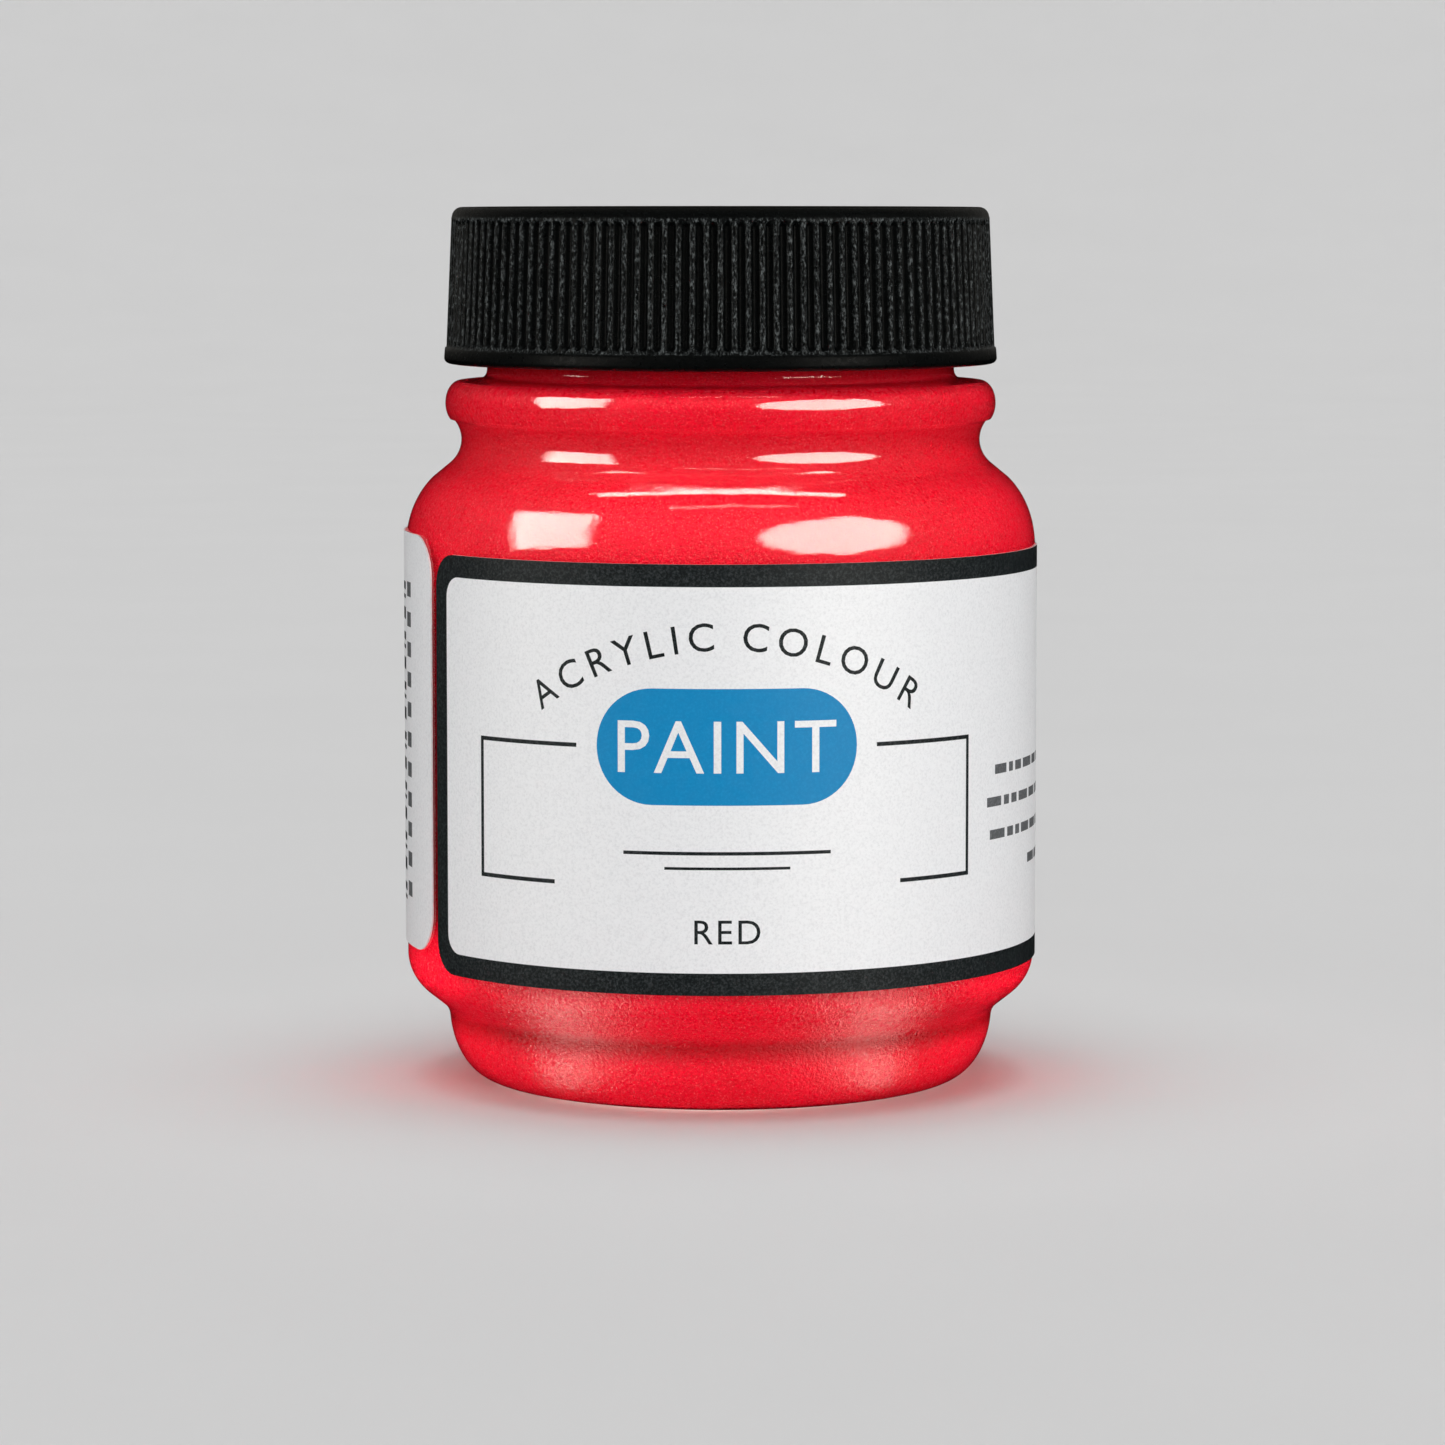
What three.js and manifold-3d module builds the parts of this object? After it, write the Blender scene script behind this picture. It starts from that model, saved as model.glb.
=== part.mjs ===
// A small screw-top paint jar: a clear moulded jar full of paint, a ribbed screw cap with
// its sealing liner, and two labels around the body.
// Millimetres, +Z up. The origin is the centre of the ring that the jar stands on, and the
// front of the label faces -Y. Angles around the jar are measured from the front towards +X.

import * as THREE from 'three';
import { mergeVertices } from 'three/addons/utils/BufferGeometryUtils.js';
import Module from 'manifold-3d';

const wasm = await Module();
wasm.setup();

// ---- Driving dimensions ----

const bodyRadius = 23.5;
const wall = 1.35;
const baseWall = 0.65;

// The outline is a chain of ellipses, each given by its centre and its half axes.
// Foot: from the standing ring up to the notch under the body.
const foot = { radius: 17.05, height: 5.3, across: 3.35, high: 5.3 };
const footWallRise = 0.6;
const ringWidth = 1.15;
const pushUpHeight = 1.25;
const pushUpRadius = 13.8;

// Body: a straight cylinder between two rounded corners.
const corner = { radius: bodyRadius - 3.8, height: 9.4, across: 3.8, high: 3.55 };
const cornerSweep = 50;
const shoulder = { radius: bodyRadius - 5.3, height: 39.85, across: 5.3, high: 6.5 };
const shoulderSweep = 52;

// Groove under the transfer bead, then the bead itself, which is hollow.
const groove = { radius: 22.15, height: 47.8, across: 2.82, high: 2.48 };
const grooveFrom = 230;
const grooveTo = 145;
const bead = { radius: 19.38, height: 50.5, across: 1.13, high: 1.66 };
const beadFrom = -45;
const beadTo = 80;
const beadWall = 0.9;
const beadRoof = 0.55;
const beadHollowRound = 0.5;

// Neck finish, 38 mm wide-mouth size with six threads to the inch.
const neckRadius = 17.4;
const mouthRadius = 15.8;
const neckBottom = 52.1;
const lipHeight = 62.65;
const lipChamfer = 0.3;
const rootDepth = 0.4;
const threadPitch = 25.4 / 6;
const threadTurns = 1.15;
const threadRootWidth = 2.2;
const threadCrestWidth = 0.9;
const jarThreadRadius = 18.7;
const jarThreadStart = 55.4;

// Screw cap.
const capBottom = 53.45;
const capTop = 65.0;
const capBottomRadius = 20.6;
const capTopRadius = 20.1;
const capRim = 0.75;
const capBand = 1.3;
const capEdge = 0.4;
const capTopEdge = 0.6;
const ribCount = 126;
const ribDepth = 0.42;
const ribRunOut = 0.25;
const capBoreRadius = 18.95;
const capThreadRadius = 17.75;
const capThreadDrop = 2.0;
const capThreadLead = 0.3;
const capCeiling = 63.7;
const boreOvershoot = 1;

// Liner, labels and paint.
const linerRadius = 18.5;
const restGap = 0.03;
const labelThickness = 0.12;
const labelGap = 0.03;
const labelHeight = 30.7;
const frontLabel = { from: -61, to: 170, bottom: 9.3, round: 2.4 };
const backLabel = { from: 173.5, to: 296.6, bottom: 10.4, round: 3 };
const paintLevel = 49.5;
const paintGap = 0.1;

// Facets.
const jarSegments = 48;
const paintSegments = 24;
const threadStepsPerTurn = 48;
const labelStep = 3;
const mergeDistance = 1e-4;

// ---- Colours ----

const clearPlastic = { color: 0xe8ecec, roughness: 0.08, metalness: 0, transparent: true, opacity: 0.3 };
const blackPlastic = { color: 0x0c0f0f, roughness: 0.5, metalness: 0 };
const whiteFoam = { color: 0xe9e6de, roughness: 0.85, metalness: 0 };
const whitePaper = { color: 0xf0f1f3, roughness: 0.6, metalness: 0 };
const redPaint = { color: 0xe11b24, roughness: 0.35, metalness: 0 };

// ---- Shape helpers ----

const radians = THREE.MathUtils.degToRad;

// Points [radius, height] along an ellipse, from one angle to another in degrees. An inset
// shortens both of its half axes.
function arc({ radius, height, across, high }, from, to, steps, inset = 0) {
  const points = [];
  for (let i = 0; i <= steps; i += 1) {
    const angle = radians(from + ((to - from) * i) / steps);
    const reach = (across - inset) * Math.cos(angle);
    const rise = (high - inset) * Math.sin(angle);
    points.push([radius + reach, height + rise]);
  }
  return points;
}

function lathe(points, segments) {
  const profile = points.map(([radius, height]) => new THREE.Vector2(radius, height));
  return new THREE.LatheGeometry(profile, segments).rotateX(Math.PI / 2);
}

function around(radius, angle, height) {
  return [radius * Math.sin(angle), -radius * Math.cos(angle), height];
}

function geometryOf(positions, indices) {
  const geometry = new THREE.BufferGeometry();
  geometry.setAttribute('position', new THREE.Float32BufferAttribute(positions.flat(), 3));
  geometry.setIndex(indices);
  return geometry;
}

// A closed mesh through rings with equal point counts, with a fan of triangles over each end.
function skin(rings) {
  const count = rings[0].length;
  const indices = [];
  for (let i = 0; i + 1 < rings.length; i += 1) {
    for (let k = 0; k < count; k += 1) {
      const a = i * count + k;
      const b = i * count + ((k + 1) % count);
      indices.push(a, b, a + count, b, b + count, a + count);
    }
  }
  const last = (rings.length - 1) * count;
  for (let k = 1; k + 1 < count; k += 1) {
    indices.push(0, k + 1, k);
    indices.push(last, last + k, last + k + 1);
  }
  return geometryOf(rings.flat(), indices);
}

// ---- Boolean helpers ----

function solidOf(geometry) {
  const bare = geometry.clone();
  bare.deleteAttribute('normal');
  bare.deleteAttribute('uv');
  const merged = mergeVertices(bare, mergeDistance);
  const kept = [];
  for (let i = 0; i < merged.index.count; i += 3) {
    const [a, b, c] = [0, 1, 2].map((k) => merged.index.getX(i + k));
    if (a !== b && b !== c && c !== a) {
      kept.push(a, b, c);
    }
  }
  const vertProperties = new Float32Array(merged.attributes.position.array);
  const triVerts = new Uint32Array(kept);
  return new wasm.Manifold(new wasm.Mesh({ numProp: 3, vertProperties, triVerts }));
}

function geometryFrom(solid) {
  const mesh = solid.getMesh();
  const geometry = new THREE.BufferGeometry();
  geometry.setAttribute('position', new THREE.BufferAttribute(new Float32Array(mesh.vertProperties), 3));
  geometry.setIndex(new THREE.BufferAttribute(new Uint32Array(mesh.triVerts), 1));
  return geometry;
}

// ---- Screw thread ----

// A helical ridge whose ends fade into the wall over a tenth of a turn. The root lies inside
// the wall, so the ridge joins it all along.
function threadRidge(rootRadius, crestRadius, startTurn, startHeight) {
  const fadeTurns = 0.1;
  const leastFade = 0.1;
  const steps = Math.round(threadTurns * threadStepsPerTurn);
  const rings = [];
  for (let i = 0; i <= steps; i += 1) {
    const turn = (threadTurns * i) / steps;
    const fade = Math.min(1, turn / fadeTurns, (threadTurns - turn) / fadeTurns);
    const reach = rootRadius + (crestRadius - rootRadius) * Math.max(leastFade, fade);
    const height = startHeight + threadPitch * turn;
    const angle = 2 * Math.PI * (startTurn + turn);
    const ring = [
      around(rootRadius, angle, height - threadRootWidth / 2),
      around(rootRadius, angle, height + threadRootWidth / 2),
      around(reach, angle, height + threadCrestWidth / 2),
      around(reach, angle, height - threadCrestWidth / 2),
    ];
    rings.push(crestRadius > rootRadius ? ring : ring.reverse());
  }
  return skin(rings);
}

// ---- Jar ----

function jarOutside() {
  return [
    [0, pushUpHeight],
    [pushUpRadius, pushUpHeight],
    [foot.radius - ringWidth, 0],
    ...arc(foot, -90, 0, 5),
    ...arc(corner, -cornerSweep, 0, 4),
    ...arc(shoulder, 0, shoulderSweep, 5),
    ...arc(groove, grooveFrom, grooveTo, 5),
    ...arc(bead, beadFrom, beadTo, 5),
    [neckRadius, neckBottom],
    [neckRadius, lipHeight - lipChamfer],
    [neckRadius - lipChamfer, lipHeight],
  ];
}

// The inner face of the wall from the floor up to the groove, moved inwards by gap.
function jarInside(gap) {
  const inset = wall + gap;
  const floor = baseWall + gap;
  return [
    [0, pushUpHeight + floor],
    [pushUpRadius, pushUpHeight + floor],
    ...arc({ ...foot, high: foot.high + inset - floor }, -90, 0, 4, inset),
    [foot.radius + foot.across - inset, foot.height + footWallRise],
    ...arc(corner, -cornerSweep, 0, 3, inset),
    ...arc(shoulder, 0, shoulderSweep, 4, inset),
    ...arc(groove, grooveFrom, 180, 3, -inset),
  ];
}

// The inner face of the wall from the hollow of the bead up the bore to the lip.
function mouthInside() {
  const roof = neckBottom - beadRoof;
  const hollow = bead.radius + bead.across - beadWall;
  return [
    [hollow, roof - 2 * beadHollowRound],
    [hollow - beadHollowRound, roof],
    [mouthRadius + beadHollowRound, roof],
    [mouthRadius, roof + beadHollowRound],
    [mouthRadius, lipHeight - lipChamfer],
    [mouthRadius + lipChamfer, lipHeight],
  ];
}

function jar() {
  const profile = [...jarOutside(), ...mouthInside().reverse(), ...jarInside(0).reverse()];
  const shell = solidOf(lathe(profile, jarSegments));
  const ridge = solidOf(threadRidge(neckRadius - rootDepth, jarThreadRadius, 0, jarThreadStart));
  return geometryFrom(shell.add(ridge));
}

// ---- Paint ----

function paint() {
  const surfaceRadius = groove.radius - groove.across - wall - paintGap;
  const profile = [...jarInside(paintGap), [surfaceRadius, paintLevel], [0, paintLevel]];
  return lathe(profile, paintSegments);
}

// ---- Cap ----

function capRadius(height) {
  return THREE.MathUtils.mapLinear(height, capBottom, capTop, capBottomRadius, capTopRadius);
}

// The cap's outside: a plain band at the bottom, straight ribs that run out into it, and a
// plain rim at the top. Every level alternates between the crest and the groove of each rib.
function ribbedOutside() {
  const bandTop = capBottom + capBand;
  const rimBottom = capTop - capRim;
  const levels = [
    { height: capBottom, inset: capEdge, depth: 0 },
    { height: capBottom + capEdge, inset: 0, depth: 0 },
    { height: bandTop, inset: 0, depth: 0 },
    { height: bandTop + ribRunOut, inset: 0, depth: ribDepth },
    { height: rimBottom - ribRunOut, inset: 0, depth: ribDepth },
    { height: rimBottom, inset: 0, depth: 0 },
    { height: capTop - capTopEdge / 2, inset: capTopEdge / 4, depth: 0 },
    { height: capTop, inset: capTopEdge, depth: 0 },
  ];
  const columns = 2 * ribCount;
  const rings = levels.map(({ height, inset, depth }) => {
    const ring = [];
    for (let k = 0; k < columns; k += 1) {
      const radius = capRadius(height) - inset - (k % 2 ? depth : 0);
      ring.push(around(radius, (2 * Math.PI * k) / columns, height));
    }
    return ring;
  });
  return skin(rings);
}

function cap() {
  const boreBottom = capBottom - boreOvershoot;
  const bore = lathe(
    [[0, boreBottom], [capBoreRadius, boreBottom], [capBoreRadius, capCeiling], [0, capCeiling]],
    jarSegments,
  );
  const startHeight = jarThreadStart + capThreadLead * threadPitch - capThreadDrop;
  const ridge = threadRidge(capBoreRadius + rootDepth, capThreadRadius, capThreadLead, startHeight);
  const shell = solidOf(ribbedOutside()).subtract(solidOf(bore));
  return geometryFrom(shell.add(solidOf(ridge)));
}

// ---- Liner ----

function liner() {
  const bottom = lipHeight + restGap;
  const top = capCeiling - restGap;
  const bevel = 0.15;
  const profile = [
    [0, bottom],
    [linerRadius - bevel, bottom],
    [linerRadius, bottom + bevel],
    [linerRadius, top - bevel],
    [linerRadius - bevel, top],
    [0, top],
  ];
  return lathe(profile, jarSegments);
}

// ---- Labels ----

// A thin sheet around the body with rounded corners: each column across it ends lower or
// higher where it passes through a corner.
function label({ from, to, bottom, round }) {
  const inner = bodyRadius + labelGap;
  const outer = inner + labelThickness;
  const roundSweep = THREE.MathUtils.radToDeg(round / outer);
  const cornerSteps = 4;
  const angles = [];
  for (let i = 0; i < cornerSteps; i += 1) {
    angles.push(from + roundSweep * (1 - Math.cos(radians((90 * i) / cornerSteps))));
  }
  const straight = to - from - 2 * roundSweep;
  const steps = Math.ceil(straight / labelStep);
  for (let i = 0; i <= steps; i += 1) {
    angles.push(from + roundSweep + (straight * i) / steps);
  }
  for (let i = cornerSteps - 1; i >= 0; i -= 1) {
    angles.push(to - roundSweep * (1 - Math.cos(radians((90 * i) / cornerSteps))));
  }
  const rings = angles.map((angle) => {
    const intoCorner = Math.max(0, 1 - Math.min(angle - from, to - angle) / roundSweep);
    const rise = round * (1 - Math.sqrt(Math.max(0, 1 - intoCorner ** 2)));
    const low = bottom + rise;
    const high = bottom + labelHeight - rise;
    const section = [[inner, low], [inner, high], [outer, high], [outer, low]];
    return section.map(([radius, height]) => around(radius, radians(angle), height));
  });
  return skin(rings);
}

// ---- Assembly ----

const assembly = new THREE.Group();

function place(name, geometry, finish) {
  const mesh = new THREE.Mesh(geometry, new THREE.MeshStandardMaterial(finish));
  mesh.name = name;
  assembly.add(mesh);
}

place('jar', jar(), clearPlastic);
place('paint', paint(), redPaint);
place('front_label', label(frontLabel), whitePaper);
place('back_label', label(backLabel), whitePaper);
place('liner', liner(), whiteFoam);
place('cap', cap(), blackPlastic);

export default assembly;
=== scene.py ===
"""The looks of a screw-top paint jar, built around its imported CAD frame.

Metres, +Z up, the front of the label towards -Y. Profiles are written in millimetres, as
(radius, height), and scaled when a mesh is made. Angles around the jar are measured from the
front towards +X.
"""

import math
from collections import namedtuple

import bpy
import numpy as np
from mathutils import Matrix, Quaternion, Vector, noise
from mathutils.geometry import delaunay_2d_cdt


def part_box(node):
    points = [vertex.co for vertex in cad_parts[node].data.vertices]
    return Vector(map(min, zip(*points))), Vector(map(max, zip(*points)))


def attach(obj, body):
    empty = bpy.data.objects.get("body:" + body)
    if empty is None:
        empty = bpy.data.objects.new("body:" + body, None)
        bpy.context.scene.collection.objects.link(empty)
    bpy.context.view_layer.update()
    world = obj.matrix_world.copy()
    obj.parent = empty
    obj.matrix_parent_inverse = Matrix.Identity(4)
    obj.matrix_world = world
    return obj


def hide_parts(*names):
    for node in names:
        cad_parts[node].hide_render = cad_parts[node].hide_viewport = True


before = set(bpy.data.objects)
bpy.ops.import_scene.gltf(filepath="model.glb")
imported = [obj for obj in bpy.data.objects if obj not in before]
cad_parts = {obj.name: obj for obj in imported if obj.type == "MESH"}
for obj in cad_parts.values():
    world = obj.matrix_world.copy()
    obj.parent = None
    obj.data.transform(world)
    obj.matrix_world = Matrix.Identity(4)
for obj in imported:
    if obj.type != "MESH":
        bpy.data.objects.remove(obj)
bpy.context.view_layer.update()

# ---- Sizes in millimetres, from the frame ----

MM = 0.001


def lowest(node):
    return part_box(node)[0] / MM


def highest(node):
    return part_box(node)[1] / MM


BODY_RADIUS = highest("jar").x
LIP = highest("jar").z
PAINT_LEVEL = highest("paint").z
CAP_BOTTOM = lowest("cap").z
CAP_TOP = highest("cap").z
CAP_RADIUS = highest("cap").x
LINER_RADIUS = highest("liner").x
LINER_BOTTOM = lowest("liner").z
LINER_TOP = highest("liner").z

# ---- Sizes of the jar's wall: millimetres, and degrees for the sweeps ----

WALL = 1.35
BASE_WALL = 0.65
RING_INNER = 15.9
RING_OUTER = 17.05
PUSH_UP = 1.25
PUSH_UP_RADIUS = 12.6
FOOT_RADIUS = 20.4
NOTCH = 5.3
BODY_BOTTOM = 9.4
BODY_TOP = 39.85
CORNER = (3.8, 3.55)
CORNER_SWEEP = 50
SHOULDER = (5.3, 6.5)
SHOULDER_SWEEP = 52
GROOVE = (2.82, 2.48)
GROOVE_RADIUS = 19.33
GROOVE_HEIGHT = 47.8
BEAD = (1.13, 1.66)
BEAD_RADIUS = 20.51
BEAD_HEIGHT = 50.5
BEAD_WALL = 0.9
BEAD_ROOF = 0.5
NECK_RADIUS = 17.4
NECK_BOTTOM = 52.05
MOUTH_RADIUS = 15.8
LIP_ROUND = 0.42

# ---- Sizes of the screw thread: millimetres, and turns where the name says so ----

PITCH = 25.4 / 6
THREAD_TURNS = 1.15
THREAD_FADE_TURNS = 0.1
THREAD_START = 55.4
THREAD_HEIGHT = 1.3
THREAD_ROOT_HALF = 1.1
THREAD_CREST_HALF = 0.45
CAP_THREAD_HEIGHT = 1.2
CAP_THREAD_LEAD_TURNS = 0.3
CAP_THREAD_DROP = 2.0

# ---- Sizes in millimetres, of the cap ----

CAP_DRAFT = 0.5
CAP_BORE = 18.95
CAP_CEILING = LINER_TOP + 0.03
CAP_BAND = 1.25
CAP_RIM = 0.85
CAP_BAND_STEP = 0.12
CAP_EDGE_ROUND = 0.4
CAP_TOP_ROUND = 0.75
RIBS = 126
RIB_COLUMNS = 8
RIB_DEPTH = 0.42
RIB_END_ARCH = 1.2
RIB_END_FADE = 0.4
RIB_CREST_DEPTH = 0.3 * RIB_DEPTH
GATE_RADIUS = 1.1
GATE_DEPTH = 0.18

# ---- Sizes of the labels: millimetres, and degrees from the front ----

LABEL_INNER = BODY_RADIUS + 0.03
LABEL_OUTER = LABEL_INNER + 0.12
LABEL_BORDER = 1.6
LABEL_STEP = 0.6
LABEL_LEVELS = 2.0

Row = namedtuple("Row", "radius height columns slot")


# ---- Curves ----


def arc(centre, size, start, end, steps):
    """Points along an ellipse, from one angle to another in degrees."""
    angles = np.radians(np.linspace(start, end, steps + 1))
    return [(centre[0] + size[0] * math.cos(a), centre[1] + size[1] * math.sin(a)) for a in angles]


def bend(start, corner, end, steps):
    """Points that turn smoothly from start to end, pulled towards the corner between them."""
    points = []
    for t in np.linspace(0, 1, steps + 1):
        near = (1 - t) ** 2
        middle = 2 * t * (1 - t)
        far = t * t
        points.append(tuple(near * s + middle * c + far * e for s, c, e in zip(start, corner, end)))
    return points


def line(start, end, steps):
    return [tuple(s + (e - s) * t for s, e in zip(start, end)) for t in np.linspace(0, 1, steps + 1)]


def smooth_step(low, high, value):
    t = np.clip((value - low) / (high - low), 0, 1)
    return t * t * (3 - 2 * t)


def turns(columns):
    return 2 * math.pi * np.arange(columns) / columns


def thread_rise(angles, height, start_turn, start_height):
    """How much of its full height a helical ridge has at one level, for each angle."""
    rise = np.zeros(len(angles))
    first = (angles / (2 * math.pi) - start_turn) % 1
    for turn in (first, first + 1):
        middle = start_height + PITCH * turn
        across = np.abs(height - middle)
        ridge = 1 - smooth_step(THREAD_CREST_HALF, THREAD_ROOT_HALF, across)
        ends = smooth_step(0, THREAD_FADE_TURNS, turn)
        ends *= smooth_step(0, THREAD_FADE_TURNS, THREAD_TURNS - turn)
        rise = np.maximum(rise, ridge * ends)
    return rise


# ---- Meshes ----


def rows_of(points, columns, slot=0):
    return [Row(radius, height, columns, slot) for radius, height in points]


def join(faces, first, columns, following, next_columns):
    """The faces between two rings of vertices. One count divides the other."""
    if next_columns >= columns:
        ratio = next_columns // columns
        for k in range(columns):
            edge = [following + (ratio * (k + 1) - j) % next_columns for j in range(ratio + 1)]
            faces.append([first + k, first + (k + 1) % columns, *edge])
    else:
        ratio = columns // next_columns
        for k in range(next_columns):
            edge = [first + (ratio * k + j) % columns for j in range(ratio + 1)]
            faces.append([*edge, following + (k + 1) % next_columns, following + k])


def revolve(name, low_height, rows, high_height, materials, sharp_angle):
    """A closed mesh of rings from a point on the axis, out and round to another point on it."""
    vertices = [(0.0, 0.0, low_height)]
    faces = []
    slots = []
    previous = None
    for row in rows:
        angles = turns(row.columns)
        radius = np.broadcast_to(row.radius, row.columns)
        height = np.broadcast_to(row.height, row.columns)
        start = len(vertices)
        vertices.extend(zip(radius * np.sin(angles), -radius * np.cos(angles), height))
        if previous is None:
            faces.extend([0, start + (k + 1) % row.columns, start + k] for k in range(row.columns))
        else:
            join(faces, previous[0], previous[1], start, row.columns)
        slots.extend([row.slot] * (len(faces) - len(slots)))
        previous = (start, row.columns)
    start, columns = previous
    top = len(vertices)
    vertices.append((0.0, 0.0, high_height))
    faces.extend([top, start + k, start + (k + 1) % columns] for k in range(columns))
    slots.extend([rows[-1].slot] * (len(faces) - len(slots)))
    return make_piece(name, vertices, faces, slots, materials, sharp_angle)


def make_piece(name, vertices, faces, slots, materials, sharp_angle):
    mesh = bpy.data.meshes.new(name)
    mesh.from_pydata([tuple(MM * c for c in v) for v in vertices], [], faces)
    for made in materials:
        mesh.materials.append(made)
    mesh.polygons.foreach_set("material_index", slots)
    mesh.validate()
    mesh.shade_smooth()
    mesh.set_sharp_from_angle(angle=math.radians(sharp_angle))
    piece = bpy.data.objects.new(name, mesh)
    bpy.context.scene.collection.objects.link(piece)
    return piece


def settle(piece, body, node):
    """The piece rides on a body and stands for a CAD node, which is hidden."""
    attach(piece, body)
    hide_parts(node)


# ---- Shader helpers ----


def new_material(name):
    made = bpy.data.materials.new(name)
    made.use_nodes = True
    tree = made.node_tree
    return made, tree, tree.nodes["Principled BSDF"]


def add(tree, kind, settings=None, **inputs):
    """A node, with its properties set and its inputs given as values or linked sockets."""
    node = tree.nodes.new(kind)
    for key, value in (settings or {}).items():
        setattr(node, key, value)
    for key, value in inputs.items():
        connect(tree, node.inputs[key.replace("_", " ")], value)
    return node


def connect(tree, socket, value):
    if isinstance(value, bpy.types.NodeSocket):
        tree.links.new(value, socket)
    else:
        socket.default_value = value


def math_of(tree, operation, *values):
    node = tree.nodes.new("ShaderNodeMath")
    node.operation = operation
    for socket, value in zip(node.inputs, values):
        connect(tree, socket, value)
    return node.outputs[0]


def place_of(tree):
    return add(tree, "ShaderNodeTexCoord").outputs["Object"]


def grain(tree, size_mm, detail=2.0, roughness=0.5, stretch=None):
    """Noise from 0 to 1 whose features are about size_mm across."""
    place = place_of(tree)
    if stretch is not None:
        place = add(tree, "ShaderNodeMapping", Vector=place, Scale=stretch).outputs[0]
    made = add(
        tree, "ShaderNodeTexNoise", Vector=place, Scale=1 / (size_mm * MM), Detail=detail, Roughness=roughness
    )
    return made.outputs["Fac"]


def spread(tree, value, low, high, to_low, to_high):
    """Maps the middle of a noise onto a range, and holds it there outside."""
    made = add(
        tree, "ShaderNodeMapRange", Value=value, From_Min=low, From_Max=high, To_Min=to_low, To_Max=to_high
    )
    return made.outputs[0]


def blend_colours(tree, factor, first, second):
    made = tree.nodes.new("ShaderNodeMix")
    made.data_type = "RGBA"
    connect(tree, made.inputs["Factor"], factor)
    connect(tree, made.inputs[6], first)
    connect(tree, made.inputs[7], second)
    return made.outputs[2]


def bump(tree, shader, height, distance_mm):
    made = add(tree, "ShaderNodeBump", Height=height, Distance=distance_mm * MM)
    tree.links.new(made.outputs[0], shader.inputs["Normal"])


# ---- Materials ----

RED = (0.80, 0.0030, 0.025, 1)
DEEP_RED = (0.60, 0.0018, 0.010, 1)
# The colour of the painted shade in the creases of the paint and under the cap.
PAINTED_CREASE_SHADE = (0.36, 0.001, 0.006, 1)
# The colour of the glints that are painted into the paint's sheen.
PAINTED_GLINT_RED = (0.98, 0.17, 0.18, 1)
PAPER = (0.87, 0.875, 0.885, 1)
PAPER_SHADE = (0.70, 0.705, 0.72, 1)
INK_BLACK = (0.006, 0.009, 0.010, 1)
INK_BLACK_SPECK = (0.045, 0.052, 0.054, 1)
INK_BLUE = (0.002, 0.235, 0.515, 1)
INK_BLUE_SPECK = (0.006, 0.28, 0.57, 1)
INK_GREY = (0.10, 0.105, 0.11, 1)
INK_GREY_SPECK = (0.20, 0.205, 0.21, 1)
CAP_BLACK = (0.0018, 0.0024, 0.0024, 1)
CAP_SPECK = (0.010, 0.012, 0.012, 1)
# The paler colour of the rib crests, which is partly wear and partly painted highlight, and of the painted
# highlight line on the band's edge.
CAP_WEAR_AND_HIGHLIGHT = (0.13, 0.144, 0.144, 1)
FOAM = (0.80, 0.79, 0.75, 1)
FOAM_CELL = (0.70, 0.69, 0.65, 1)
FLOOR_PALE = (0.75, 0.748, 0.745, 1)
FLOOR_MOTTLE = (0.74, 0.738, 0.735, 1)


def clear_plastic():
    """Clear moulded plastic with faint waves in its face, which lets lamp light through."""
    made, tree, shader = new_material("clear_jar_plastic")
    shader.inputs["Base Color"].default_value = (0.985, 0.99, 0.99, 1)
    shader.inputs["Transmission Weight"].default_value = 1
    shader.inputs["IOR"].default_value = 1.38
    haze = spread(tree, grain(tree, 2.5, 3), 0.35, 0.7, 0.04, 0.08)
    tree.links.new(haze, shader.inputs["Roughness"])
    waves = grain(tree, 7.0, 1, 0.4, stretch=(1, 1, 2))
    ripple = grain(tree, 1.1, 2, 0.5, stretch=(1, 1, 1.5))
    moulded = math_of(tree, "MULTIPLY_ADD", ripple, 0.2, waves)
    pitted = math_of(tree, "MULTIPLY_ADD", grain(tree, 0.18, 2, 0.7), 0.07, moulded)
    bump(tree, shader, pitted, 0.07)
    through = add(tree, "ShaderNodeBsdfTransparent", Color=(0.94, 0.95, 0.95, 1))
    path = add(tree, "ShaderNodeLightPath")
    mixed = add(tree, "ShaderNodeMixShader", Fac=path.outputs["Is Shadow Ray"])
    tree.links.new(shader.outputs[0], mixed.inputs[1])
    tree.links.new(through.outputs[0], mixed.inputs[2])
    tree.links.new(mixed.outputs[0], tree.nodes["Material Output"].inputs["Surface"])
    return made


# Bands of painted shade on the paint: in the notch above the foot, in the groove under the bead and on the
# neck under the cap. Each has its height and half width in millimetres, and how much of the shade colour it
# takes.
ShadeBand = namedtuple("ShadeBand", "height half_width share")
PAINTED_SHADE_BANDS = (
    ShadeBand(NOTCH - 0.4, 1.7, 0.9),
    ShadeBand(GROOVE_HEIGHT + 0.4, 3.2, 0.45),
    ShadeBand(NECK_BOTTOM + 1.5, 2.0, 0.6),
)


def ring_shade(tree, height, half_width):
    """One at a height on the jar, in millimetres, and fading to nothing on both sides of it."""
    level = add(tree, "ShaderNodeSeparateXYZ", Vector=place_of(tree)).outputs["Z"]
    away = math_of(tree, "ABSOLUTE", math_of(tree, "SUBTRACT", level, height * MM))
    made = add(
        tree,
        "ShaderNodeMapRange",
        {"interpolation_type": "SMOOTHSTEP"},
        Value=away,
        From_Max=half_width * MM,
        To_Min=1.0,
        To_Max=0.0,
    )
    return made.outputs[0]


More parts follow.
